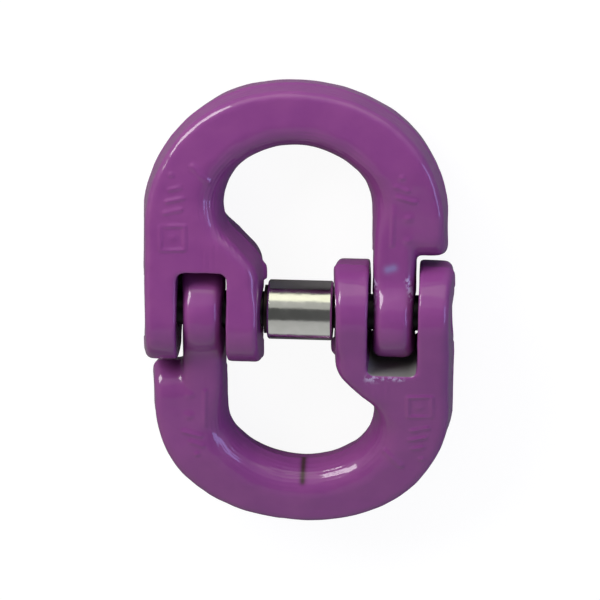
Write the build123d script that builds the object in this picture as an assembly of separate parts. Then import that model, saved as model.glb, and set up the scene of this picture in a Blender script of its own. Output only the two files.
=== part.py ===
from build123d import *
from math import acos, asin, atan2, cos, degrees, hypot, radians, sin, sqrt, tan
import os

# A forged connecting link for lifting chain. Two identical halves are hooked into
# each other, a load pin passes through both, and a round bush locks the pin.
# X runs along the pin, Y along the link, Z is up. The link lies on a flat surface,
# loose on its pin, so each half rests on its whole lower face.
# All sizes are in millimetres, and all angles in degrees.

# Bow of each half, measured from the axis of the load pin
SEAT_REACH = 36.0            # to the seat that a chain link bears on
CROWN_DEPTH = 12.9           # from the seat to the back of the bow
CROWN_THICKNESS = 11.6       # across the forging at the back of the bow
FORK_WALL = 15.9             # middle of the link to the bow's inner wall, fork side
TONGUE_WALL = 15.1           # the same, tongue side
TONGUE_LEG_WIDTH = 15.4      # inner wall to outer wall of the tongue's leg
SEAT_SHIFT = 0.7             # the seat's middle stands this far towards the fork
BACK_SHIFT = 1.2             # and so does the middle of the back
SEAT_RADIUS = 17.7           # curve of the seat
SEAT_CORNER_RADIUS = 11.5    # where the seat runs into the legs
BACK_RADIUS = 37.0           # curve of the back
FORK_BEND_RADIUS = 29.0      # where the back runs into the fork's leg
TONGUE_BEND_RADIUS = 26.9    # where the back runs into the tongue's leg
DRAFT_ANGLE = 6.0            # slope of the forged walls, from the parting plane

# Fork, whose two ears carry the pin
EAR_REACH = 10.8             # pin axis to the end of an ear
EAR_THICKNESS = 20.4         # across the forging at the pin
EAR_END_FLAT = 1.4           # left in the middle of an ear's round end
INNER_EAR_WIDTH = 7.25       # ear beside the bush
OUTER_EAR_WIDTH = 7.3        # ear on the outside of the link
SLOT_END_CLEARANCE = 0.8     # end of a tongue to the floor of the slot
SLOT_CORNER_RADIUS = 1.7
WEB_SLOPE = 43.5             # of the web between leg and inner ear, from the leg
WEB_RADIUS = 8.0             # where the web meets the leg, and the inner ear

# Tongue, which fits between the other half's ears
TONGUE_WIDTH = 9.2
TONGUE_RADIUS = 9.4
TONGUE_SIDE_CLEARANCE = 0.6
NECK_THICKNESS = 12.2        # across the forging, above the tongue
NECK_BLEND_RADIUS = 7.0      # hollow between the tongue and its neck
SHOULDER_THICKNESS = 12.6    # across the forging, where the leg starts
FACE_BLEND_RADIUS = 40.0     # where the leg's faces bend towards the crown
FACE_BLEND_DROP = 4.5        # from the seat down to that bend
SHOULDER_CLEARANCE = 2.1     # end of the other half's ear to the shoulder

# Load pin
PIN_DIAMETER = 7.4
PIN_END_RECESS = 0.9         # the pin's ends lie this far inside the link
PIN_CHAMFER = 0.7
PIN_RADIAL_CLEARANCE = 0.08
WAIST_DIAMETER = 6.2
BORE_CHAMFER = 0.6

# Locking bush, and the slit spring sleeve inside it
BUSH_DIAMETER = 12.4
BUSH_LENGTH = 13.5
BUSH_END_PLAY = 1.1          # both ends together
BUSH_SHORT_GAP = 0.2         # the bush lies nearer the lower fork, this far from it
BUSH_CHAMFER = 0.35
BUSH_WALL = 1.15
SLEEVE_RADIAL_CLEARANCE = 0.05
SLEEVE_PROUD = 0.7           # the sleeve stands out of one end of the bush
SLEEVE_INSET = 1.0           # and ends short of the other
SLEEVE_SLIT = 1.2

# Edges
OUTER_EDGE_RADIUS = 1.8
INNER_EDGE_RADIUS = 2.6
TONGUE_EDGE_RADIUS = 2.0
MARGIN = 2.0                 # how far cutting bodies run past what they cut

# Worked out from the sizes above
HALF_GAP = (BUSH_LENGTH + BUSH_END_PLAY) / 2
BUSH_SHIFT = BUSH_END_PLAY / 2 - BUSH_SHORT_GAP
SLOT_IN = HALF_GAP + INNER_EAR_WIDTH
SLOT_WIDTH = TONGUE_WIDTH + 2 * TONGUE_SIDE_CLEARANCE
SLOT_OUT = SLOT_IN + SLOT_WIDTH
EAR_OUT = SLOT_OUT + OUTER_EAR_WIDTH
SLOT_FLOOR = TONGUE_RADIUS + SLOT_END_CLEARANCE
TONGUE_IN = (SLOT_IN + SLOT_OUT - TONGUE_WIDTH) / 2
TONGUE_OUT = TONGUE_IN + TONGUE_WIDTH
TONGUE_LEG_OUT = TONGUE_WALL + TONGUE_LEG_WIDTH
CROWN_TOP = SEAT_REACH + CROWN_DEPTH
SHOULDER = EAR_REACH + SHOULDER_CLEARANCE
BORE_RADIUS = PIN_DIAMETER / 2 + PIN_RADIAL_CLEARANCE
BUSH_BORE_RADIUS = BUSH_DIAMETER / 2 - BUSH_WALL
FAR_OUT = EAR_OUT + MARGIN
FAR_DOWN = EAR_REACH + MARGIN
FAR_UP = CROWN_TOP + MARGIN
BLANK_HEIGHT = EAR_THICKNESS / 2 + MARGIN
LEG_BEND = SEAT_REACH - FACE_BLEND_DROP
LEG_START = SHOULDER + SHOULDER_THICKNESS / 2
# The lower face of a half touches the ear and the back of the bow, so a half that
# is loose on its pin lies at this angle.
REST_TILT = degrees(
    asin(EAR_THICKNESS / 2 / hypot(CROWN_TOP, CROWN_THICKNESS / 2))
    - atan2(CROWN_THICKNESS / 2, CROWN_TOP)
)


def face_height(reach):
    """Half the thickness of the forging, where its faces taper to the crown."""
    tilt = radians(REST_TILT)
    return EAR_THICKNESS / 2 * sqrt(1 + tan(tilt) ** 2) - reach * tan(tilt)


def oval(top, top_radius, top_shift, fork_wall, fork_radius, tongue_wall, tongue_radius):
    """Three tangent arcs over both legs, with the heights where they leave them."""
    middle = (-top_shift, top - top_radius)
    fork_side = fork_radius - fork_wall
    tongue_side = tongue_wall - tongue_radius
    fork_spring = middle[1] + sqrt(
        (top_radius - fork_radius) ** 2 - (fork_side - middle[0]) ** 2
    )
    tongue_spring = middle[1] + sqrt(
        (top_radius - tongue_radius) ** 2 - (tongue_side - middle[0]) ** 2
    )
    fork_angle = degrees(atan2(fork_spring - middle[1], fork_side - middle[0]))
    tongue_angle = degrees(atan2(tongue_spring - middle[1], tongue_side - middle[0]))
    arcs = [
        CenterArc((tongue_side, tongue_spring), tongue_radius, 0, tongue_angle),
        CenterArc(middle, top_radius, tongue_angle, fork_angle - tongue_angle),
        CenterArc((fork_side, fork_spring), fork_radius, fork_angle, 180 - fork_angle),
    ]
    return arcs, fork_spring, tongue_spring


def web(head, leg_wall, ear_wall, head_radius, foot_radius):
    """Two arcs and a straight, from the fork's leg in to its inner ear."""
    slope = radians(WEB_SLOPE)
    across = leg_wall - ear_wall - (head_radius + foot_radius) * (1 - cos(slope))
    drop = across / tan(slope)
    head_end = (
        head_radius * (1 - cos(slope)) - leg_wall,
        head - head_radius * sin(slope),
    )
    foot_start = (head_end[0] + across, head_end[1] - drop)
    foot_middle = (-ear_wall - foot_radius, foot_start[1] - foot_radius * sin(slope))
    return [
        CenterArc((head_radius - leg_wall, head), head_radius, 180, WEB_SLOPE),
        Line(head_end, foot_start),
        CenterArc(foot_middle, foot_radius, WEB_SLOPE, -WEB_SLOPE),
        Line((-ear_wall, foot_middle[1]), (-ear_wall, -FAR_DOWN)),
    ]


def blank_outline(inset):
    """Outline seen square on, this far inside the outline at the parting plane."""
    fork_out = EAR_OUT - inset
    tongue_out = TONGUE_LEG_OUT - inset
    tongue_wall = TONGUE_WALL + inset
    back, back_fork, back_tongue = oval(
        CROWN_TOP - inset, BACK_RADIUS - inset, BACK_SHIFT,
        fork_out, FORK_BEND_RADIUS - inset, tongue_out, TONGUE_BEND_RADIUS - inset,
    )
    seat, seat_fork, seat_tongue = oval(
        SEAT_REACH + inset, SEAT_RADIUS + inset, SEAT_SHIFT,
        FORK_WALL + inset, SEAT_CORNER_RADIUS + inset,
        tongue_wall, SEAT_CORNER_RADIUS + inset,
    )
    ear_wall = HALF_GAP + inset
    inner_web = web(
        seat_fork, FORK_WALL + inset, ear_wall, WEB_RADIUS + inset, WEB_RADIUS - inset
    )
    ends = [
        Line((-ear_wall, -FAR_DOWN), (-fork_out, -FAR_DOWN)),
        Line((-fork_out, -FAR_DOWN), (-fork_out, back_fork)),
        Line((tongue_out, back_tongue), (tongue_out, -FAR_DOWN)),
        Line((tongue_out, -FAR_DOWN), (tongue_wall, -FAR_DOWN)),
        Line((tongue_wall, -FAR_DOWN), (tongue_wall, seat_tongue)),
    ]
    return make_face(Wire(back + seat + inner_web + ends))


def tongue_outline(inset):
    """Outline of the tongue seen square on, inset in the same way."""
    middle = Pos((TONGUE_IN + TONGUE_OUT) / 2, (LEG_START - FAR_DOWN) / 2)
    return middle * Rectangle(TONGUE_WIDTH - 2 * inset, LEG_START + FAR_DOWN)


def drafted(outline):
    """A forging above its parting plane, with walls that slope inwards."""
    top = outline(BLANK_HEIGHT * tan(radians(DRAFT_ANGLE)))
    return loft([outline(0).face(), (Pos(0, 0, BLANK_HEIGHT) * top).face()], ruled=True)


def both_sides(body):
    """The whole forging, which is alike on both sides of its parting plane."""
    return body + mirror(body, Plane.XY)


def side_prism(profile, start, end):
    """A side view, drawn with Y across and Z up, carried along X."""
    turned = Plane.YZ.from_local_coords(profile)
    return Pos(start, 0, 0) * extrude(turned, amount=end - start, dir=(1, 0, 0))


def tapered_faces(foot):
    """Side view between the two faces that taper to the crown."""
    low = face_height(foot)
    high = face_height(FAR_UP)
    return make_face(
        Polyline((foot, -low), (FAR_UP, -high), (FAR_UP, high), (foot, low), close=True)
    )


def fork_profile():
    """Side view of the fork's leg: a round ear that tapers to the crown."""
    outline = tapered_faces(-EAR_REACH)
    corners = outline.vertices().group_by(Axis.X)[0]
    return fillet(corners, (EAR_THICKNESS - EAR_END_FLAT) / 2)


def leg_profile():
    """Side view of the tongue's leg, slimmer than the fork's, with a round end."""
    end_radius = SHOULDER_THICKNESS / 2
    bend = face_height(LEG_BEND)
    run = LEG_BEND - LEG_START
    touch = atan2(bend, run) + acos(end_radius / hypot(run, bend))
    start = LEG_START + end_radius * cos(touch)
    side = end_radius * sin(touch)
    lower = make_face(
        Polyline((start, -side), (LEG_BEND, -bend), (LEG_BEND, bend), (start, side), close=True)
    )
    outline = lower + tapered_faces(LEG_BEND)
    bends = outline.vertices().filter_by(lambda v: abs(v.X - LEG_BEND) < 1)
    return fillet(bends, FACE_BLEND_RADIUS) + Pos(LEG_START, 0) * Circle(end_radius)


def tongue_profile():
    """Side view of the tongue: a thick disc on a neck, with hollows between them."""
    neck = Pos(LEG_START / 2, 0) * Rectangle(LEG_START, NECK_THICKNESS)
    outline = neck + Circle(TONGUE_RADIUS)
    corners = outline.vertices().filter_by(
        lambda v: 0 < v.X < SHOULDER and abs(v.Y) < TONGUE_RADIUS
    )
    return fillet(corners, NECK_BLEND_RADIUS)


def tongue():
    """The tongue alone, with its neck, up to where its leg starts."""
    body = drafted(tongue_outline) & side_prism(tongue_profile(), TONGUE_IN, TONGUE_OUT)
    rim = body.edges().filter_by(lambda e: e.center().Z > MARGIN and e.center().Y < 0)
    return both_sides(fillet(rim, TONGUE_EDGE_RADIUS))


def slot():
    """The gap between the ears, open at their ends."""
    depth = SLOT_FLOOR + FAR_DOWN
    block = Pos(-(SLOT_IN + SLOT_OUT) / 2, SLOT_FLOOR - depth / 2, 0) * Box(
        SLOT_WIDTH, depth, 2 * BLANK_HEIGHT
    )
    corners = block.edges().filter_by(Axis.Z).group_by(Axis.Y)[-1]
    return fillet(corners, SLOT_CORNER_RADIUS)


def inside_bow(edge):
    """Whether an edge runs round the inner side of the bow and its legs."""
    spot = edge.center()
    leg_middle = (TONGUE_WALL + TONGUE_LEG_OUT) / 2
    bend_height = SEAT_REACH - SEAT_RADIUS
    return hypot(spot.X, max(spot.Y - bend_height, 0)) < leg_middle


def face_edge(body, inner):
    """An edge of the face, inside or outside the bow, for a fillet to follow."""
    edges = body.edges().filter_by(
        lambda e: e.center().Z > MARGIN
        and hypot((e @ 1 - e @ 0).X, (e @ 1 - e @ 0).Y) > MARGIN
        and inside_bow(e) == inner
    )
    return edges.sort_by(Axis.Y)[-1]


def rounded_blank():
    """The forging before its slot is cut, with its tongue still missing."""
    body = drafted(blank_outline) & (
        side_prism(fork_profile(), -FAR_OUT, 0)
        + side_prism(leg_profile(), 0, FAR_OUT)
    )
    body = fillet(face_edge(body, inner=True), INNER_EDGE_RADIUS)
    body = fillet(face_edge(body, inner=False), OUTER_EDGE_RADIUS)
    return both_sides(body)


def bore():
    """The pin's hole through both ears and the tongue, opened out at its mouths."""
    flare = Cone(BORE_RADIUS + 2 * BORE_CHAMFER, BORE_RADIUS, 2 * BORE_CHAMFER)
    body = Cylinder(BORE_RADIUS, 2 * FAR_OUT)
    body += Pos(0, 0, -EAR_OUT) * flare
    body += Pos(0, 0, -HALF_GAP) * Rot(180, 0, 0) * flare
    return Rot(0, 90, 0) * body


def forged_half():
    """One half, flat in the plane of its bow, with the pin's axis along X."""
    return rounded_blank() - slot() + tongue() - bore()


def load_pin():
    """Turned pin, thinner in the middle where the spring sleeve grips it."""
    length = 2 * (EAR_OUT - PIN_END_RECESS)
    body = Cylinder(PIN_DIAMETER / 2, length)
    body = chamfer(body.edges().filter_by(GeomType.CIRCLE), PIN_CHAMFER)
    waist = Cylinder(PIN_DIAMETER, 2 * HALF_GAP) - Cylinder(WAIST_DIAMETER / 2, 2 * HALF_GAP)
    return Rot(0, 90, 0) * (body - waist)


def locking_bush():
    """Round bush that turns freely between the two forks."""
    body = Cylinder(BUSH_DIAMETER / 2, BUSH_LENGTH)
    body = chamfer(body.edges().filter_by(GeomType.CIRCLE), BUSH_CHAMFER)
    body -= Cylinder(BUSH_BORE_RADIUS, BUSH_LENGTH)
    return Pos(BUSH_SHIFT, 0, 0) * Rot(0, 90, 0) * body


def spring_sleeve():
    """Slit sleeve, pressed into the bush, whose bore holds the pin's waist."""
    length = BUSH_LENGTH + SLEEVE_PROUD - SLEEVE_INSET
    body = Cylinder(BUSH_BORE_RADIUS, length)
    body -= Cylinder(WAIST_DIAMETER / 2 + SLEEVE_RADIAL_CLEARANCE, length)
    body -= Pos(BUSH_BORE_RADIUS / 2, 0, 0) * Box(BUSH_BORE_RADIUS, SLEEVE_SLIT, length)
    middle = BUSH_SHIFT - (SLEEVE_PROUD + SLEEVE_INSET) / 2
    return Pos(middle, 0, 0) * Rot(0, 90, 0) * body


if __name__ == "__main__":
    os.makedirs("parts", exist_ok=True)
    lift = Pos(0, 0, EAR_THICKNESS / 2)
    half = lift * Rot(-REST_TILT, 0, 0) * forged_half()
    pieces = {
        "upper_half": half,
        "lower_half": Rot(0, 0, 180) * half,
        "load_pin": lift * load_pin(),
        "locking_bush": lift * locking_bush(),
        "spring_sleeve": lift * spring_sleeve(),
    }
    for name, piece in pieces.items():
        export_step(piece, f"parts/{name}.step")
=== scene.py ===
from math import atan2, cos, pi, radians, sin, tan

import bmesh
import bpy
import numpy as np
from mathutils import Matrix, Vector, noise


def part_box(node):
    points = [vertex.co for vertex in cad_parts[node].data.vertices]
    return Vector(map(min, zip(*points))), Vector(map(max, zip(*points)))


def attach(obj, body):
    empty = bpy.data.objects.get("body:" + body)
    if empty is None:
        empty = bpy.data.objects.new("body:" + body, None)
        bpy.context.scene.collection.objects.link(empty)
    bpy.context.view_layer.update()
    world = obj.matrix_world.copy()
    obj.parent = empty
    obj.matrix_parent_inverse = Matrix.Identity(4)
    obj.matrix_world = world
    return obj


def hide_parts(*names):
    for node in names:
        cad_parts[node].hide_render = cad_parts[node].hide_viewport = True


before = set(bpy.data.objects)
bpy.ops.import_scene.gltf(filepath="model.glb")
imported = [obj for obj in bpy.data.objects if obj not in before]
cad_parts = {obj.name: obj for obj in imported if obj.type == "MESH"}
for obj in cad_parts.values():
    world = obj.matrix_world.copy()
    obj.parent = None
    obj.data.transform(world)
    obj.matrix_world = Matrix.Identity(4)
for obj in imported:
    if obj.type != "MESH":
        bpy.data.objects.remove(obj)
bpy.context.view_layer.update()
scene = bpy.context.scene

# Forged halves: alloy steel, hot-forged between two dies that meet on a parting
# plane, trimmed, and milled through for the slot. Both come from the same dies, so
# one mesh, laid flat here with its pin axis along X and its bow along +Y, serves both.
MM = 0.001
HALF_TILT = radians(5.1904)         # how far a half leans when it lies on the ground
VOXEL = 0.33 * MM
SOFTENING_PASSES = 7
SAME_POINT = 0.001 * MM             # points of the plain half nearer than this are one
pin_low, pin_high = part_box("load_pin")
PIN_AXIS = Vector((0.0, 0.0, (pin_low.z + pin_high.z) / 2))


def lying(turn):
    """From the flat half to where it lies, turned about the upright axis."""
    lean = Matrix.Translation(PIN_AXIS) @ Matrix.Rotation(-HALF_TILT, 4, "X")
    return Matrix.Rotation(turn, 4, "Z") @ lean


def coords(mesh):
    """The mesh's points as an array of rows, in millimetres."""
    flat = np.empty(len(mesh.vertices) * 3, np.float32)
    mesh.vertices.foreach_get("co", flat)
    return flat.reshape(-1, 3).astype(float) / MM


def put_coords(mesh, points):
    """Writes an array of rows, in millimetres, back as the mesh's points."""
    mesh.vertices.foreach_set("co", (points * MM).astype(np.float32).ravel())
    mesh.update()


def point_normals(mesh):
    """The mesh's vertex normals as an array of rows."""
    flat = np.empty(len(mesh.vertices) * 3, np.float32)
    mesh.vertex_normals.foreach_get("vector", flat)
    return flat.reshape(-1, 3).astype(float)


def soften(mesh, passes, factor=0.5):
    """Evens out the surface, as thick paint does."""
    shape = bmesh.new()
    shape.from_mesh(mesh)
    for _ in range(passes):
        bmesh.ops.smooth_vert(
            shape, verts=shape.verts, factor=factor,
            use_axis_x=True, use_axis_y=True, use_axis_z=True,
        )
    shape.to_mesh(mesh)
    shape.free()


def smooth_step(value, start, end):
    """0 before start, 1 past end, and an even rise between."""
    share = np.clip((value - start) / (end - start), 0.0, 1.0)
    return share * share * (3 - 2 * share)


def fine_skin(node):
    """A merged copy of a CAD node, laid flat and given small even faces."""
    shape = bmesh.new()
    shape.from_mesh(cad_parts[node].data)
    bmesh.ops.remove_doubles(shape, verts=shape.verts, dist=SAME_POINT)
    bmesh.ops.transform(shape, matrix=lying(0.0).inverted(), verts=shape.verts)
    coarse = bpy.data.meshes.new("forging_coarse")
    shape.to_mesh(coarse)
    shape.free()
    holder = bpy.data.objects.new("forging_coarse", coarse)
    scene.collection.objects.link(holder)
    remesh = holder.modifiers.new("skin", "REMESH")
    remesh.mode = "VOXEL"
    remesh.voxel_size = VOXEL
    remesh.adaptivity = 0.0
    fine = bpy.data.meshes.new_from_object(
        holder.evaluated_get(bpy.context.evaluated_depsgraph_get())
    )
    bpy.data.objects.remove(holder)
    bpy.data.meshes.remove(coarse)
    return fine


# Square on, the bow's inner and outer walls are each three arcs that run into straight
# legs: one arc over the top, and one at each corner, with its middle, radius and wall.
SEAT_OVAL = {
    "middle": (-0.7, 18.3), "radius": 17.7,
    "fork": ((-4.4, 23.27), 11.5, 15.9), "tongue": ((3.6, 22.77), 11.5, 15.1),
}
BACK_OVAL = {
    "middle": (-1.2, 11.9), "radius": 37.0,
    "fork": ((-3.25, 19.63), 29.0, 32.25), "tongue": ((3.6, 20.79), 26.9, 30.5),
}


def past_oval(x, y, oval):
    """How far outside an oval a point lies, or how far inside if it is negative."""
    middle_x, middle_y = oval["middle"]
    (fork_x, fork_y), fork_radius, fork_wall = oval["fork"]
    (tongue_x, tongue_y), tongue_radius, tongue_wall = oval["tongue"]
    over_top = np.hypot(x - middle_x, y - middle_y) - oval["radius"]
    past_fork = np.where(
        y > fork_y, np.hypot(x - fork_x, y - fork_y) - fork_radius, -x - fork_wall
    )
    past_tongue = np.where(
        y > tongue_y, np.hypot(x - tongue_x, y - tongue_y) - tongue_radius, x - tongue_wall
    )
    angle = np.arctan2(y - middle_y, x - middle_x)
    fork_angle = atan2(fork_y - middle_y, fork_x - middle_x)
    tongue_angle = atan2(tongue_y - middle_y, tongue_x - middle_x)
    by_fork = (angle > fork_angle) | ((y < fork_y) & (x < 0))
    by_tongue = ((angle < tongue_angle) | (y < tongue_y)) & (x > 0)
    return np.where(by_fork, past_fork, np.where(by_tongue, past_tongue, over_top))


# The bow's section is a D: flat on its back and full round where a chain link bears.
# The round is cut into both dies, and fades out along both legs.
ROUND_DEPTH = 6.2                   # how far the full round reaches into the metal
ROUND_FADE = (15.0, 27.0)           # heights where it is gone, and complete
FACE_AT_PIN = 10.24                 # half the thickness at the pin, and at the leg's ends
LEG_AT_SHOULDER = 6.3
SHOULDER_REACH = 19.2
LEG_BEND_REACH = 31.5
SLOPE_STEP = 0.01                   # over which the wall's direction is measured


def half_thickness(x, y):
    """Half the forging's thickness, which the tongue's leg has less of."""
    tapered = FACE_AT_PIN - y * tan(HALF_TILT)
    bend = FACE_AT_PIN - LEG_BEND_REACH * tan(HALF_TILT)
    share = np.clip((y - SHOULDER_REACH) / (LEG_BEND_REACH - SHOULDER_REACH), 0.0, 1.0)
    slim = LEG_AT_SHOULDER + share * (bend - LEG_AT_SHOULDER)
    return np.where((x > 0) & (y < LEG_BEND_REACH), slim, tapered)


def round_the_bow(points):
    """Draws the inner side of the bow in to an even half round."""
    x, y, z = points.T
    depth = past_oval(x, y, SEAT_OVAL)
    across = np.maximum(ROUND_DEPTH - depth, 0.0)
    reach = np.hypot(across / ROUND_DEPTH, z / half_thickness(x, y))
    fade = smooth_step(y, *ROUND_FADE) * (across > 0) * (reach > 1)
    scale = 1 + fade * (1 / np.maximum(reach, 1e-6) - 1)
    step = across * (1 - scale)
    slope_x = (past_oval(x + SLOPE_STEP, y, SEAT_OVAL) - depth) / SLOPE_STEP
    slope_y = (past_oval(x, y + SLOPE_STEP, SEAT_OVAL) - depth) / SLOPE_STEP
    return np.stack([x + slope_x * step, y + slope_y * step, z * scale], axis=1)


# Beside the bush the ear's end was trimmed closer, so its corner is tighter there than
# along the web. Distances are measured in from the ear's wall and from its round end.
EAR_WALL = 7.3
EAR_DRAFT = tan(radians(6.0))
EAR_ROUND = 9.5                     # radius of the ear's end, and its middle's place
EAR_ROUND_AT = (-1.3, 0.7)
CORNER_AS_FORGED = 2.6
CORNER_TRIMMED = 1.1
TRIM_REACH = 2.5 * CORNER_AS_FORGED # how far in from the wall the trimming is felt
TRIM_MARGIN = 1.0                   # and how far out from it, for the wall's own points
TRIM_FADE = (2.0, 8.0)              # heights where the trimming starts to fade, and ends


def pulled_in(depth, share):
    """Moves what lies within the corner's radius nearer the surface, by that share."""
    near_part = depth * share
    far_part = CORNER_AS_FORGED * share + (depth - CORNER_AS_FORGED) * (2 - share)
    moved = np.where(depth < CORNER_AS_FORGED, near_part, far_part)
    return np.where(depth < 2 * CORNER_AS_FORGED, moved, depth)


def trim_ear_corner(points):
    """Tightens the inner ear's corner towards the ear's end."""
    x, y, z = points.T
    fade = 1 - smooth_step(y, *TRIM_FADE)
    share = 1 - fade * (1 - CORNER_TRIMMED / CORNER_AS_FORGED)
    on_ear = (x < -EAR_WALL + TRIM_MARGIN) & (x > -EAR_WALL - TRIM_REACH) & (y < TRIM_FADE[1])
    from_wall = np.maximum(-EAR_WALL - np.abs(z) * EAR_DRAFT - x, 0.0)
    middle_y, middle_z = EAR_ROUND_AT
    past_y = np.minimum(y - middle_y, 0.0)
    past_z = np.maximum(np.abs(z) - middle_z, 0.0)
    spread = np.maximum(np.hypot(past_y, past_z), 1e-6)
    from_end = np.maximum(
        np.where(y < middle_y, EAR_ROUND - spread, half_thickness(x, y) - np.abs(z)), 0.0
    )
    inward = from_end - pulled_in(from_end, share)
    step_x = from_wall - pulled_in(from_wall, share)
    step_y = np.where(y < middle_y, past_y / spread, 0.0) * inward
    step_z = np.where(y < middle_y, past_z / spread, 1.0) * np.sign(z) * inward
    moved = np.stack([x + step_x, y + step_y, z + step_z], axis=1)
    return np.where(on_ear[:, None], moved, points)


def unevenness(points, size):
    """Smooth noise between about -1 and 1, whose rises are this far apart."""
    return np.array([noise.noise(Vector(row)) for row in points / size])


def near(points, start, end, width):
    """1 on the straight line from start to end, and falling off within the width."""
    start = np.array(start)
    run = np.array(end) - start
    share = np.clip((points - start) @ run / (run @ run), 0.0, 1.0)
    away = np.linalg.norm(points - start - share[:, None] * run, axis=1)
    return np.exp(-((away / width) ** 2))


# A thin line of trimmed flash runs round the forging where the dies met. On the inner
# ear, above the bush, it was left standing and ends in a step.
FLASH_HEIGHT = 0.20
FLASH_WIDTH = 0.50
FLASH_STUB = ((-7.3, 7.0, 0.0), (-7.5, 9.2, 0.0))
FLASH_STUB_HEIGHT = 0.50
FLASH_STUB_WIDTH = 0.9
INNER_EAR_WIDTH = 7.25
SLOT_WIDTH = 10.4
SLOT_IN = -EAR_WALL - INNER_EAR_WIDTH
SLOT_OUT = SLOT_IN - SLOT_WIDTH
SLOT_FLOOR = 10.2
SLOT_EDGE = 0.4                     # past the slot's sides, where the mill took it off
SLOT_FLOOR_EDGE = 0.6
TONGUE_MILLED = (14.8, 24.7)        # across the tongue, which was milled to its width
TONGUE_MILLED_TOP = 13.5
BORE_EDGE = 6.6                     # no flash this near the pin's axis


def flash_height(points):
    """Height of the flash at each point: none where the forging was milled or bored."""
    x, y, z = points.T
    slot = (x > SLOT_OUT - SLOT_EDGE) & (x < SLOT_IN + SLOT_EDGE)
    slot &= y < SLOT_FLOOR + SLOT_FLOOR_EDGE
    tongue = (x > TONGUE_MILLED[0]) & (x < TONGUE_MILLED[1]) & (y < TONGUE_MILLED_TOP)
    bored = np.hypot(y, z) < BORE_EDGE
    line = FLASH_HEIGHT * np.exp(-((z / FLASH_WIDTH) ** 2)) * ~(slot | tongue | bored)
    return line + FLASH_STUB_HEIGHT * near(points, *FLASH_STUB, FLASH_STUB_WIDTH) * ~bored


# Raised forging marks on the front of both legs: a plain frame, bars and dots, cut
# into the die by hand and half drowned in paint. A row is a bar's two ends, as x, y,
# x, y, and its width, and a dot is a bar of hardly any length.
MARK_HEIGHT = 0.30
MARK_BARS = [
    (-28.0, 15.0, -23.2, 15.2, 0.36), (-28.1, 20.0, -23.2, 20.2, 0.36),
    (-28.1, 15.1, -28.2, 19.9, 0.36), (-23.1, 15.3, -23.2, 20.0, 0.36),
    (-25.8, 17.6, -25.5, 17.6, 0.75), (-27.3, 22.8, -24.0, 23.6, 0.42),
    (-26.9, 25.2, -23.5, 26.0, 0.42), (-26.3, 27.7, -24.2, 28.2, 0.42),
    (-26.2, 30.8, -26.0, 30.8, 0.50), (-18.4, 29.3, -21.7, 32.6, 0.62),
    (19.3, 16.6, 19.5, 24.6, 0.42), (22.4, 17.6, 22.6, 17.6, 0.75),
    (22.6, 22.4, 22.8, 22.4, 0.75), (20.3, 27.0, 23.8, 26.1, 0.42),
    (19.9, 29.3, 22.4, 28.5, 0.42), (21.0, 31.3, 21.2, 31.3, 0.50),
]
LEAST_SHOWING = 0.55                # share of a mark's height that the paint leaves
DROWNED_PATCH = 2.3                 # distance apart of the places where it lies thick
DROWNED_SPREAD = (-0.60, 0.20)
FRONT_FACING = (0.6, 0.9)           # upright share of the normal: no marks, full marks


def mark_height(points, normals):
    """Height of the raised marks at each point of the front face."""
    flat = points[:, :2]
    relief = np.zeros(len(points))
    for x0, y0, x1, y1, width in MARK_BARS:
        relief = np.maximum(relief, near(flat, (x0, y0), (x1, y1), width))
    showing = smooth_step(unevenness(points, DROWNED_PATCH), *DROWNED_SPREAD)
    showing = LEAST_SHOWING + (1 - LEAST_SHOWING) * showing
    return relief * MARK_HEIGHT * showing * smooth_step(normals[:, 2], *FRONT_FACING)


# The dies leave broad, shallow unevenness and, along the worn edges, fine drawn lines
# that follow the bow. Both show where the paint catches the light.
SWELLS = ((11.0, 0.13), (4.4, 0.100), (2.0, 0.036))     # distance apart, and height
LINE_SPACING = 1.30
LINE_HEIGHT = 0.034
INNER_LINES = (-5.5, 5.0)           # how far down the wall and in over the face they run
OUTER_LINES = (-5.0, 1.6)
LINE_WANDER = 2.6                   # in radians, so that the lines aren't parallel
WANDER_PATCH = 8.0
BROKEN_PATCH = 5.0                  # distance apart of the places where they show
BROKEN_SPREAD = (-0.20, 0.25)
BROKEN_SHIFT = 50.0                 # takes another part of the noise than the wander
LINES_FADE = (4.0, 12.0)            # heights where the lines are gone, and complete


def forge_swell(points):
    """A slow rise and fall of the skin."""
    return sum(height * unevenness(points, size) for size, height in SWELLS)


def drawn_lines(points):
    """Shallow lines that follow the bow's edges, and come and go along them."""
    x, y, z = points.T
    below_face = half_thickness(x, y) - np.abs(z)
    wander = LINE_WANDER * unevenness(points, WANDER_PATCH)
    strength = smooth_step(unevenness(points + BROKEN_SHIFT, BROKEN_PATCH), *BROKEN_SPREAD)
    total = np.zeros(len(points))
    for depth, (first, last) in (
        (past_oval(x, y, SEAT_OVAL), INNER_LINES), (-past_oval(x, y, BACK_OVAL), OUTER_LINES)
    ):
        across = depth - below_face
        band = smooth_step(across, first, first + 1.0) * smooth_step(-across, -last, 1.0 - last)
        total += band * np.sin(2 * pi * across / LINE_SPACING + wander)
    return LINE_HEIGHT * total * strength * smooth_step(y, *LINES_FADE)


# The tongue runs smoothly into its leg and shoulder, so its sides are eased there.
TONGUE_EASED = ((14.4, 25.4), (1.0, 21.0))
BORE_KEPT = 6.8                     # nothing is eased this near the pin's axis
EASING_PASSES = 14


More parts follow.
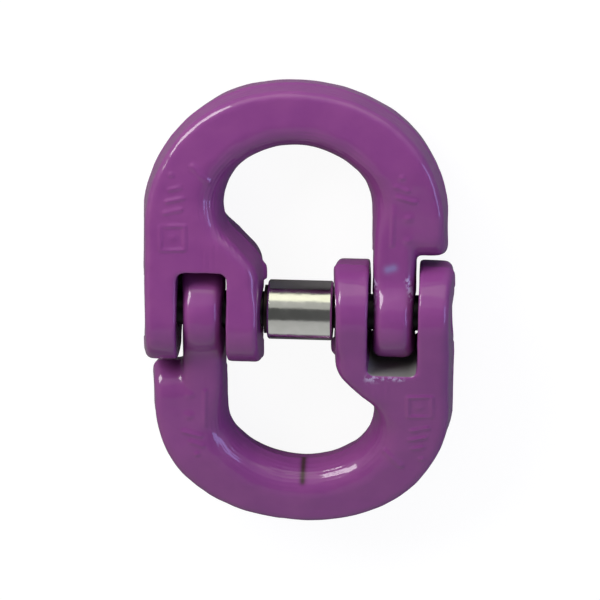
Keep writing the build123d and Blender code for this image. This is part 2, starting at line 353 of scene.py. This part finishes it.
def ease_tongue(mesh):
    """Evens out the hollows where the tongue meets its leg."""
    (x_low, x_high), (y_low, y_high) = TONGUE_EASED
    shape = bmesh.new()
    shape.from_mesh(mesh)
    eased = [
        v for v in shape.verts
        if x_low < v.co.x / MM < x_high and y_low < v.co.y / MM < y_high
        and v.co.yz.length / MM > BORE_KEPT
    ]
    for _ in range(EASING_PASSES):
        bmesh.ops.smooth_vert(
            shape, verts=eased, factor=0.5, use_axis_x=True, use_axis_y=True, use_axis_z=True
        )
    shape.to_mesh(mesh)
    shape.free()


def kept_above_ground(points):
    """Flattens the few high spots of the face that the half rests on."""
    x, y, z = points.T
    ground = (y * sin(HALF_TILT) - PIN_AXIS.z / MM) / cos(HALF_TILT)
    return np.stack([x, y, np.maximum(z, ground)], axis=1)


# The skin starts as the plain half: its ear is trimmed, its bow rounded, and its flash,
# marks and unevenness raised. The rim of each bore stays even, as it was machined.
ROUND_SOFTENING = 3
PAINT_FLOW = 0.15                   # how much the last coat evens out
RIM_RADIUS = 6.5
RIM_SHARPNESS = 6                   # how abruptly the even rim ends


def forged_skin():
    """The finished surface of one half, laid flat."""
    mesh = fine_skin("upper_half")
    put_coords(mesh, trim_ear_corner(coords(mesh)))
    soften(mesh, SOFTENING_PASSES)
    ease_tongue(mesh)
    put_coords(mesh, round_the_bow(coords(mesh)))
    soften(mesh, ROUND_SOFTENING)
    points, normals = coords(mesh), point_normals(mesh)
    by_bore = np.exp(-((np.hypot(points[:, 1], points[:, 2]) / RIM_RADIUS) ** RIM_SHARPNESS))
    lift = flash_height(points) + mark_height(points, normals)
    lift += (forge_swell(points) + drawn_lines(points)) * (1 - by_bore)
    put_coords(mesh, points + normals * lift[:, None])
    soften(mesh, 1, PAINT_FLOW)
    put_coords(mesh, kept_above_ground(coords(mesh)))
    return mesh


# Wear and painted light on the front of each half. The lower half's slot floor shows bare
# milled steel, and its paint is chipped along it. Pale speckles along both edges of the
# upper half's tongue are painted highlights, and a grey-blue patch where that tongue meets
# its leg is a painted reflection. The lower bow has a dark streak across its seat. A row
# is a line's two ends, its width and lowest height.
CHIPS_AND_HIGHLIGHTS = {
    "upper_half": [((15.5, 2.4), (15.8, 8.2), 0.55, 4.0),
                   ((22.6, 9.0), (23.6, 5.2), 0.45, 4.0)],
    "lower_half": [((-14.9, 10.9), (-16.6, 10.8), 0.75, 7.6),
                   ((-16.6, 10.7), (-22.0, 10.9), 0.38, 7.6)],
}
# A grey-blue patch where the upper half's tongue meets its leg: a painted reflection.
PAINTED_REFLECTION = {"upper_half": [((18.5, 11.2), (19.7, 11.6), 0.8, 0.0)], "lower_half": []}
STREAKED = {"upper_half": [], "lower_half": [((-1.0, 33.0), (-1.0, 38.4), 0.62, -1.0)]}
WEAR_AND_LIGHT_FADE = 0.5                     # height over which each such place, wear and painted light alike, starts
BARE_SIDES = (0.5, 0.3)             # past a side of the slot: painted, and inside it: bare
BARE_UNDER_FLOOR = (1.6, 0.4)
BARE_OVER_FLOOR = (0.45, 0.1)
BARE_HALF_HEIGHT = (9.4, 8.6)       # up and down from the parting plane: painted, bare


def wear_and_painted_light(points, rows):
    """A mask of the places that these rows name, wear and painted light alike."""
    mask = np.zeros(len(points))
    for start, end, width, lowest in rows:
        place = near(points[:, :2], start, end, width)
        mask = np.maximum(mask, place * smooth_step(points[:, 2], lowest, lowest + WEAR_AND_LIGHT_FADE))
    return mask


def milled_bare(points):
    """Where the slot's floor shows bare steel."""
    x, y, z = points.T
    outside, inside = BARE_SIDES
    within = smooth_step(x, SLOT_OUT - outside, SLOT_OUT + inside)
    within *= smooth_step(-x, -SLOT_IN - outside, -SLOT_IN + inside)
    painted, bare = BARE_UNDER_FLOOR
    on_floor = smooth_step(y, SLOT_FLOOR - painted, SLOT_FLOOR - bare)
    painted, bare = BARE_OVER_FLOOR
    on_floor *= smooth_step(-y, -SLOT_FLOOR - painted, -SLOT_FLOOR + bare)
    painted, bare = BARE_HALF_HEIGHT
    return within * on_floor * smooth_step(-np.abs(z), -painted, -bare)


def store(mesh, name, values):
    """Keeps one number for each point of the mesh, for its material to read."""
    layer = mesh.attributes.new(name, "FLOAT", "POINT")
    layer.data.foreach_set("value", values.astype(np.float32))


# Groups that several finishes share: small ripples of a sprayed or ground surface,
# and the uneven tone that comes with them. Each finish gives its own sizes.
def new_group(name, inputs, outputs):
    """An empty shader group with its sockets, and its two end nodes."""
    group = bpy.data.node_groups.new(name, "ShaderNodeTree")
    for label, kind, value in inputs:
        socket = group.interface.new_socket(name=label, in_out="INPUT", socket_type=kind)
        if value is not None:
            socket.default_value = value
    for label, kind in outputs:
        group.interface.new_socket(name=label, in_out="OUTPUT", socket_type=kind)
    start = group.nodes.new("NodeGroupInput")
    end = group.nodes.new("NodeGroupOutput")
    return group, start, end


def mottle_group():
    """Two sizes of soft noise: a tone mask and a small height."""
    group, start, end = new_group(
        "mottle",
        [
            ("Vector", "NodeSocketVector", None),
            ("Patch Scale", "NodeSocketFloat", 60.0),
            ("Ripple Scale", "NodeSocketFloat", 900.0),
        ],
        [("Tone", "NodeSocketFloat"), ("Height", "NodeSocketFloat")],
    )
    patches = group.nodes.new("ShaderNodeTexNoise")
    patches.inputs["Detail"].default_value = 3.0
    ripples = group.nodes.new("ShaderNodeTexNoise")
    ripples.inputs["Detail"].default_value = 1.0
    link = group.links.new
    link(start.outputs["Vector"], patches.inputs["Vector"])
    link(start.outputs["Vector"], ripples.inputs["Vector"])
    link(start.outputs["Patch Scale"], patches.inputs["Scale"])
    link(start.outputs["Ripple Scale"], ripples.inputs["Scale"])
    link(patches.outputs["Fac"], end.inputs["Tone"])
    link(ripples.outputs["Fac"], end.inputs["Height"])
    return group


mottle = mottle_group()


def blank_material(name):
    """A new material, its nodes, its shader, and the piece's own coordinates."""
    material = bpy.data.materials.new(name)
    material.use_nodes = True
    tree = material.node_tree
    shader = tree.nodes["Principled BSDF"]
    place = tree.nodes.new("ShaderNodeTexCoord")
    return material, tree, shader, place.outputs["Object"]


def colour_mix(tree, mask, first, second):
    """A node that goes from the first colour to the second with a mask."""
    mix = tree.nodes.new("ShaderNodeMix")
    mix.data_type = "RGBA"
    for socket, value in ((mix.inputs[6], first), (mix.inputs[7], second)):
        if isinstance(value, tuple):
            socket.default_value = (*value, 1.0)
        else:
            tree.links.new(value, socket)
    tree.links.new(mask, mix.inputs[0])
    return mix.outputs[2]


def ramp(tree, value, low, high, start=0.0, end=1.0):
    """A Map Range node from one pair of limits to another."""
    node = tree.nodes.new("ShaderNodeMapRange")
    node.inputs["From Min"].default_value = low
    node.inputs["From Max"].default_value = high
    node.inputs["To Min"].default_value = start
    node.inputs["To Max"].default_value = end
    tree.links.new(value, node.inputs["Value"])
    return node.outputs["Result"]


def point_mask(tree, name):
    """A number stored on the mesh's points."""
    node = tree.nodes.new("ShaderNodeAttribute")
    node.attribute_name = name
    return node.outputs["Fac"]


def bumped(tree, height, distance, strength=1.0, over=None):
    """A Bump node for that height, on its own or over another one's normal."""
    node = tree.nodes.new("ShaderNodeBump")
    node.inputs["Strength"].default_value = strength
    node.inputs["Distance"].default_value = distance
    tree.links.new(height, node.inputs["Height"])
    if over is not None:
        tree.links.new(over, node.inputs["Normal"])
    return node.outputs["Normal"]


def placed_group(tree, group, vector, **sizes):
    """One use of a shared group, with its own values."""
    node = tree.nodes.new("ShaderNodeGroup")
    node.node_tree = group
    tree.links.new(vector, node.inputs["Vector"])
    for name, value in sizes.items():
        node.inputs[name.replace("_", " ")].default_value = value
    return node


COAT_PURPLE = (0.217, 0.050, 0.199)
COAT_DEEP = (0.198, 0.043, 0.188)
# Pale lavender: chipped paint on the lower half, and painted highlights on the upper half's
# tongue.
CHIP_AND_HIGHLIGHT = (0.42, 0.32, 0.50)
# Grey-blue of the painted reflection where the upper half's tongue meets its leg.
REFLECTION_TINT = (0.21, 0.15, 0.33)
MILLED_STEEL = (0.20, 0.198, 0.19)
SEAT_STREAK = (0.035, 0.018, 0.016)
COAT_GLOSS = 0.78
COAT_BLUR = 0.07
COAT_UNDERSHINE = 0.12              # specular level of the paint below its clear skin
COAT_ROUGHNESS = 0.42
MILLED_ROUGHNESS = 0.55
MILLED_METALLIC = 0.3
COAT_RIPPLE_DEPTH = 0.08 * MM
COAT_TONES = (0.35, 0.65)           # the noise where the coat is all deep, all purple
CHIP_AND_HIGHLIGHT_TONES = (0.46, 0.56)           # and where chips and painted highlights are all coat, all their colour
BARE_EDGE = (0.35, 0.65)            # and where the milled mask is all coat, all steel


def coat_material():
    """Thick glossy coat over forged steel, bare where the slot was milled."""
    material, tree, shader, place = blank_material("purple_coat_gloss")
    sprayed = placed_group(tree, mottle, place, Patch_Scale=150.0, Ripple_Scale=620.0)
    tone = ramp(tree, sprayed.outputs["Tone"], *COAT_TONES)
    paint = colour_mix(tree, tone, COAT_DEEP, COAT_PURPLE)
    # Chips on the lower half and painted highlights along the upper half's tongue, speckled by
    # fine noise.
    chip_and_highlight_node = tree.nodes.new("ShaderNodeMath")
    chip_and_highlight_node.operation = "MULTIPLY"
    speckle = placed_group(tree, mottle, place, Patch_Scale=1300.0, Ripple_Scale=2500.0)
    tree.links.new(ramp(tree, speckle.outputs["Tone"], *CHIP_AND_HIGHLIGHT_TONES), chip_and_highlight_node.inputs[0])
    tree.links.new(point_mask(tree, "chips_and_highlights"), chip_and_highlight_node.inputs[1])
    paint = colour_mix(tree, chip_and_highlight_node.outputs[0], paint, CHIP_AND_HIGHLIGHT)
    # Painted reflection: grey-blue where the upper half's tongue meets its leg.
    paint = colour_mix(tree, point_mask(tree, "painted_reflection"), paint, REFLECTION_TINT)
    paint = colour_mix(tree, point_mask(tree, "streaked"), paint, SEAT_STREAK)
    bare = ramp(tree, point_mask(tree, "milled_bare"), *BARE_EDGE)
    tree.links.new(colour_mix(tree, bare, paint, MILLED_STEEL), shader.inputs["Base Color"])
    for socket, painted, milled in (
        ("Metallic", 0.0, MILLED_METALLIC), ("Roughness", COAT_ROUGHNESS, MILLED_ROUGHNESS),
        ("Coat Weight", COAT_GLOSS, 0.0),
    ):
        tree.links.new(ramp(tree, bare, 0.0, 1.0, painted, milled), shader.inputs[socket])
    shader.inputs["Coat Roughness"].default_value = COAT_BLUR
    shader.inputs["Specular IOR Level"].default_value = COAT_UNDERSHINE
    rippled = bumped(tree, sprayed.outputs["Height"], COAT_RIPPLE_DEPTH, strength=0.6)
    tree.links.new(rippled, shader.inputs["Normal"])
    return material


skin = forged_skin()
flat_points = coords(skin)
coat = coat_material()
for node, turn in (("upper_half", 0.0), ("lower_half", radians(180))):
    mesh = skin.copy()
    mesh.name = node + "_forging"
    store(mesh, "chips_and_highlights", wear_and_painted_light(flat_points, CHIPS_AND_HIGHLIGHTS[node]))
    store(mesh, "painted_reflection", wear_and_painted_light(flat_points, PAINTED_REFLECTION[node]))
    store(mesh, "streaked", wear_and_painted_light(flat_points, STREAKED[node]))
    store(mesh, "milled_bare", milled_bare(flat_points) * (node == "lower_half"))
    mesh.transform(lying(turn))
    mesh.shade_smooth()
    mesh.materials.clear()
    mesh.materials.append(coat)
    forging = bpy.data.objects.new(node + "_forging", mesh)
    scene.collection.objects.link(forging)
    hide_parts(node)
    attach(forging, node)

# Load pin: turned from alloy steel, oil-blackened, with chamfered ends and a thinner
# waist for the spring sleeve. It fills the bores, so its ends show in the outer ears.
PIN_RADIUS = 3.7 * MM
PIN_CHAMFER = 0.7 * MM
WAIST_RADIUS = 3.1 * MM
WAIST_HALF = 7.3 * MM
PIN_HALF = pin_high.x
POLE_MERGE = 0.002 * MM             # the profile's ends on the axis become one point
LARGEST_CUT = 1 / 2.2               # share of an edge that one rounded corner may take


def turned(name, profile, steps, material):
    """A solid of revolution about the pin's axis, from its (along, radius) corners."""
    shape = bmesh.new()
    corners = [shape.verts.new((along, radius, 0.0)) for along, radius in profile]
    for first, second in zip(corners, corners[1:]):
        shape.edges.new((first, second))
    bmesh.ops.spin(
        shape, geom=shape.verts[:] + shape.edges[:], cent=(0, 0, 0), axis=(1, 0, 0),
        dvec=(0, 0, 0), angle=radians(360), steps=steps, use_merge=True,
        use_duplicate=False,
    )
    bmesh.ops.remove_doubles(shape, verts=shape.verts, dist=POLE_MERGE)
    bmesh.ops.recalc_face_normals(shape, faces=shape.faces)
    bmesh.ops.translate(shape, vec=PIN_AXIS, verts=shape.verts)
    mesh = bpy.data.meshes.new(name)
    shape.to_mesh(mesh)
    shape.free()
    mesh.shade_smooth()
    mesh.materials.append(material)
    piece = bpy.data.objects.new(name, mesh)
    scene.collection.objects.link(piece)
    return piece


def softened_corners(profile, size, steps=3):
    """Each inner corner of a profile, rounded with a few points."""
    points = [profile[0]]
    for before, corner, after in zip(profile, profile[1:], profile[2:]):
        spot = Vector(corner)
        to_before = Vector(before) - spot
        to_after = Vector(after) - spot
        cut = min(size, to_before.length * LARGEST_CUT, to_after.length * LARGEST_CUT)
        start = spot + to_before.normalized() * cut
        end = spot + to_after.normalized() * cut
        for step in range(steps + 1):
            share = step / steps
            first = start.lerp(spot, share)
            second = spot.lerp(end, share)
            points.append(tuple(first.lerp(second, share)))
    points.append(profile[-1])
    return points


TOOL_MARK_DEPTH = 0.01 * MM
STEEL_TONES = (0.3, 0.7)            # the noise where the first and second colour are full


def steel_material(name, colours, roughness, ripple, patch, wave=0.0):
    """A metal with an uneven tone, fine marks of its making and a slight wave."""
    material, tree, shader, place = blank_material(name)
    worked = placed_group(tree, mottle, place, Patch_Scale=patch, Ripple_Scale=ripple)
    tone = ramp(tree, worked.outputs["Tone"], *STEEL_TONES)
    tree.links.new(colour_mix(tree, tone, *colours), shader.inputs["Base Color"])
    uneven_shine = ramp(tree, worked.outputs["Tone"], *STEEL_TONES, *roughness)
    tree.links.new(uneven_shine, shader.inputs["Roughness"])
    shader.inputs["Metallic"].default_value = 1.0
    waved = bumped(tree, worked.outputs["Tone"], wave)
    marked = bumped(
        tree, worked.outputs["Height"], TOOL_MARK_DEPTH, strength=0.5, over=waved
    )
    tree.links.new(marked, shader.inputs["Normal"])
    return material


# Near black: partly the blackened steel's own colour and partly painted shade for the gaps
# between ears and tongue.
pin_steel_and_shade = steel_material(
    "pin_steel_and_shade", ((0.022, 0.021, 0.023), (0.050, 0.048, 0.052)), (0.42, 0.58),
    ripple=2400.0, patch=300.0,
)
pin_profile = [(-PIN_HALF, 0.0), (-PIN_HALF, PIN_RADIUS - PIN_CHAMFER),
               (-PIN_HALF + PIN_CHAMFER, PIN_RADIUS), (-WAIST_HALF, PIN_RADIUS),
               (-WAIST_HALF, WAIST_RADIUS), (WAIST_HALF, WAIST_RADIUS),
               (WAIST_HALF, PIN_RADIUS), (PIN_HALF - PIN_CHAMFER, PIN_RADIUS),
               (PIN_HALF, PIN_RADIUS - PIN_CHAMFER), (PIN_HALF, 0.0)]
PIN_EDGE = 0.12 * MM                # how far each turned corner is taken off
PIN_STEPS = 96                      # faces around it
pin = turned("load_pin_turned", softened_corners(pin_profile, PIN_EDGE), PIN_STEPS, pin_steel_and_shade)
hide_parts("load_pin")
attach(pin, "load_pin")

# Locking bush: a short tube of hardened steel, ground and polished, which turns
# freely between the forks. It lies nearer the lower fork, and its ends have hardly
# any chamfer.
bush_low, bush_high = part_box("locking_bush")
BUSH_LEFT = bush_low.x
BUSH_RIGHT = bush_high.x
BUSH_RADIUS = 6.2 * MM
BUSH_BORE = 5.05 * MM
BUSH_CHAMFER = 0.35 * MM
BORE_CHAMFER = 0.2 * MM
bush_steel = steel_material(
    "bush_steel", ((0.64, 0.65, 0.62), (0.72, 0.72, 0.70)), (0.11, 0.20),
    ripple=1500.0, patch=330.0, wave=0.06 * MM,
)
bush_profile = [(0.0, BUSH_BORE), (BUSH_LEFT + BORE_CHAMFER, BUSH_BORE),
                (BUSH_LEFT, BUSH_BORE + BORE_CHAMFER), (BUSH_LEFT, BUSH_RADIUS - BUSH_CHAMFER),
                (BUSH_LEFT + BUSH_CHAMFER, BUSH_RADIUS),
                (BUSH_RIGHT - BUSH_CHAMFER, BUSH_RADIUS),
                (BUSH_RIGHT, BUSH_RADIUS - BUSH_CHAMFER),
                (BUSH_RIGHT, BUSH_BORE + BORE_CHAMFER),
                (BUSH_RIGHT - BORE_CHAMFER, BUSH_BORE), (0.0, BUSH_BORE)]
BUSH_EDGE = 0.1 * MM
BUSH_STEPS = 128
bush = turned(
    "locking_bush_ground", softened_corners(bush_profile, BUSH_EDGE), BUSH_STEPS, bush_steel
)
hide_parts("locking_bush")
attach(bush, "bush")

# Spring sleeve: a slit ring of dark spring steel, pressed into the bush. One end
# stands out of it a little and fills the gap beside the fork.
sleeve_steel = steel_material(
    "sleeve_steel", ((0.022, 0.018, 0.018), (0.05, 0.04, 0.04)), (0.4, 0.6),
    ripple=1800.0, patch=500.0,
)
for material_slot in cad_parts["spring_sleeve"].material_slots:
    material_slot.material = sleeve_steel

# Ground: a plain pale sheet, far wider than the view. It shows the camera almost no
# shade, as the white ground of a shop picture does, but keeps the link's shadow.
GROUND_HALF = 3.0
ground_shape = bmesh.new()
bmesh.ops.create_grid(ground_shape, x_segments=1, y_segments=1, size=GROUND_HALF)
ground_mesh = bpy.data.meshes.new("ground")
ground_shape.to_mesh(ground_mesh)
ground_shape.free()
ground = bpy.data.objects.new("ground", ground_mesh)
scene.collection.objects.link(ground)
GROUND_PAPER = (0.50, 0.50, 0.50, 1.0)
GROUND_MIRRORED = (0.28, 0.28, 0.28, 1.0)
GROUND_SEEN = (0.12, 0.12, 0.12, 1.0)
GROUND_GLOW = 0.92
paper = bpy.data.materials.new("ground_paper")
paper.use_nodes = True
paper_tree = paper.node_tree
paper_tree.nodes.clear()
plain = paper_tree.nodes.new("ShaderNodeBsdfDiffuse")
plain.inputs["Color"].default_value = GROUND_PAPER
dimmed = paper_tree.nodes.new("ShaderNodeBsdfDiffuse")
dimmed.inputs["Color"].default_value = GROUND_MIRRORED
seen = paper_tree.nodes.new("ShaderNodeBsdfDiffuse")
seen.inputs["Color"].default_value = GROUND_SEEN
glow = paper_tree.nodes.new("ShaderNodeEmission")
glow.inputs["Strength"].default_value = GROUND_GLOW
both = paper_tree.nodes.new("ShaderNodeAddShader")
by_mirror = paper_tree.nodes.new("ShaderNodeMixShader")
choice = paper_tree.nodes.new("ShaderNodeMixShader")
rays = paper_tree.nodes.new("ShaderNodeLightPath")
sheet_out = paper_tree.nodes.new("ShaderNodeOutputMaterial")
paper_tree.links.new(seen.outputs[0], both.inputs[0])
paper_tree.links.new(glow.outputs[0], both.inputs[1])
paper_tree.links.new(rays.outputs["Is Glossy Ray"], by_mirror.inputs[0])
paper_tree.links.new(plain.outputs[0], by_mirror.inputs[1])
paper_tree.links.new(dimmed.outputs[0], by_mirror.inputs[2])
paper_tree.links.new(rays.outputs["Is Camera Ray"], choice.inputs[0])
paper_tree.links.new(by_mirror.outputs[0], choice.inputs[1])
paper_tree.links.new(both.outputs[0], choice.inputs[2])
paper_tree.links.new(choice.outputs[0], sheet_out.inputs["Surface"])
ground_mesh.materials.append(paper)

# Studio: even light all round, a low softbox beyond the upper half, a broad one over the
# lower half, a bright lamp at the left and a bluish one at the right. Metal also mirrors
# the gaps between lamps, so glossy rays meet a room in bands that fade at both sides.
ROOM_LIGHT = 0.27
ROOM_BANDS = [                      # angle up from +Y over the top, brightness, warmth
    (-180, 0.30, 0.0), (-1, 0.30, 0.0), (0, 0.06, 0.0), (2, 0.06, 0.0), (6, 1.42, 0.20),
    (32, 1.40, 0.20), (36, 0.58, 0.06), (60, 0.54, 0.06), (65, 0.10, 0.0), (107, 0.10, 0.0),
    (114, 0.52, 0.02), (176, 0.62, 0.02), (180, 0.50, 0.0),
]
SIDE_TONE = (0.45, 0.45, 0.46)
SIDE_FROM = 0.55                    # how far towards a side the bands start to fade
SIDE_FULL = 0.85
world = bpy.data.worlds.new("studio")
world.use_nodes = True
scene.world = world
room = world.node_tree
room.nodes.clear()
direction = room.nodes.new("ShaderNodeTexCoord")
axes = room.nodes.new("ShaderNodeSeparateXYZ")
angle = room.nodes.new("ShaderNodeMath")
angle.operation = "ARCTAN2"
share = room.nodes.new("ShaderNodeMapRange")
share.inputs["From Min"].default_value = radians(-180)
share.inputs["From Max"].default_value = radians(180)
bands = room.nodes.new("ShaderNodeValToRGB")
sideways = room.nodes.new("ShaderNodeMath")
sideways.operation = "ABSOLUTE"
mirrored = room.nodes.new("ShaderNodeBackground")
even = room.nodes.new("ShaderNodeBackground")
even.inputs["Strength"].default_value = ROOM_LIGHT
white = room.nodes.new("ShaderNodeBackground")
path = room.nodes.new("ShaderNodeLightPath")
by_gloss = room.nodes.new("ShaderNodeMixShader")
by_camera = room.nodes.new("ShaderNodeMixShader")
room_out = room.nodes.new("ShaderNodeOutputWorld")
for backdrop in (even, white):
    backdrop.inputs["Color"].default_value = (1.0, 1.0, 1.0, 1.0)
stops = bands.color_ramp.elements
while len(stops) < len(ROOM_BANDS):
    stops.new(0.5)
for stop, (up_angle, brightness, warmth) in zip(stops, ROOM_BANDS):
    stop.position = (up_angle + 180) / 360
    stop.color = (brightness, brightness, brightness * (1 - warmth), 1.0)
room.links.new(direction.outputs["Generated"], axes.inputs[0])
room.links.new(axes.outputs["Z"], angle.inputs[0])
room.links.new(axes.outputs["Y"], angle.inputs[1])
room.links.new(angle.outputs[0], share.inputs["Value"])
room.links.new(share.outputs["Result"], bands.inputs["Fac"])
room.links.new(axes.outputs["X"], sideways.inputs[0])
sides = ramp(room, sideways.outputs[0], SIDE_FROM, SIDE_FULL)
room.links.new(
    colour_mix(room, sides, bands.outputs["Color"], SIDE_TONE), mirrored.inputs["Color"]
)
room.links.new(path.outputs["Is Glossy Ray"], by_gloss.inputs[0])
room.links.new(even.outputs[0], by_gloss.inputs[1])
room.links.new(mirrored.outputs[0], by_gloss.inputs[2])
room.links.new(path.outputs["Is Camera Ray"], by_camera.inputs[0])
room.links.new(by_gloss.outputs[0], by_camera.inputs[1])
room.links.new(white.outputs[0], by_camera.inputs[2])
room.links.new(by_camera.outputs[0], room_out.inputs["Surface"])


def lamp(name, towards, away, size, radiance, in_mirror=True, colour=(1.0, 1.0, 1.0)):
    """A rectangular area lamp that faces the link from that direction and distance."""
    data = bpy.data.lights.new(name, "AREA")
    data.shape = "RECTANGLE"
    data.size, data.size_y = size
    data.energy = radiance * pi * size[0] * size[1]
    data.color = colour
    holder = bpy.data.objects.new(name, data)
    line = Vector(towards).normalized()
    holder.matrix_world = (
        Matrix.Translation(PIN_AXIS + line * away)
        @ line.to_track_quat("Z", "Y").to_matrix().to_4x4()
    )
    holder.visible_glossy = in_mirror
    scene.collection.objects.link(holder)


lamp("broad_softbox", (0.10, -0.80, 1.0), 1.07, (0.80, 0.80), 0.9, in_mirror=False)
lamp("low_softbox", (0.0, 0.951, 0.309), 0.90, (1.00, 0.50), 3.3, in_mirror=False)
lamp("left_key", (-0.66, 0.60, 0.46), 0.90, (0.54, 0.32), 11.5)
lamp("right_fill", (0.86, 0.06, 0.50), 1.00, (0.60, 0.28), 5.5, colour=(0.42, 0.44, 1.0))

# Camera: above the link and a little towards its upper half, as in the photograph,
# far enough off that the view is almost without perspective.
CAMERA_AWAY = 0.90
CAMERA_TILT = radians(-23.5)
CAMERA_SIDE_TURN = radians(3.2)
CAMERA_ROLL = radians(0.26)
PIXELS_PER_METRE = 4811.5
IMAGE_PIXELS = 600
PIN_AT_PIXEL = (299.0, 309.7)
SENSOR_WIDTH = 36.0                 # of the camera, which is measured in millimetres
camera_data = bpy.data.cameras.new("camera")
camera_data.sensor_width = SENSOR_WIDTH
camera_data.lens = SENSOR_WIDTH * CAMERA_AWAY * PIXELS_PER_METRE / IMAGE_PIXELS
view_turn = (
    Matrix.Rotation(CAMERA_SIDE_TURN, 4, "Y") @ Matrix.Rotation(CAMERA_TILT, 4, "X")
    @ Matrix.Rotation(CAMERA_ROLL, 4, "Z")
)
off_right = (IMAGE_PIXELS / 2 - PIN_AT_PIXEL[0]) / PIXELS_PER_METRE
off_up = (PIN_AT_PIXEL[1] - IMAGE_PIXELS / 2) / PIXELS_PER_METRE
camera = bpy.data.objects.new("camera", camera_data)
camera.matrix_world = (
    Matrix.Translation(PIN_AXIS) @ view_turn
    @ Matrix.Translation((off_right, off_up, CAMERA_AWAY))
)
scene.collection.objects.link(camera)
scene.camera = camera
scene.view_settings.view_transform = "Standard"
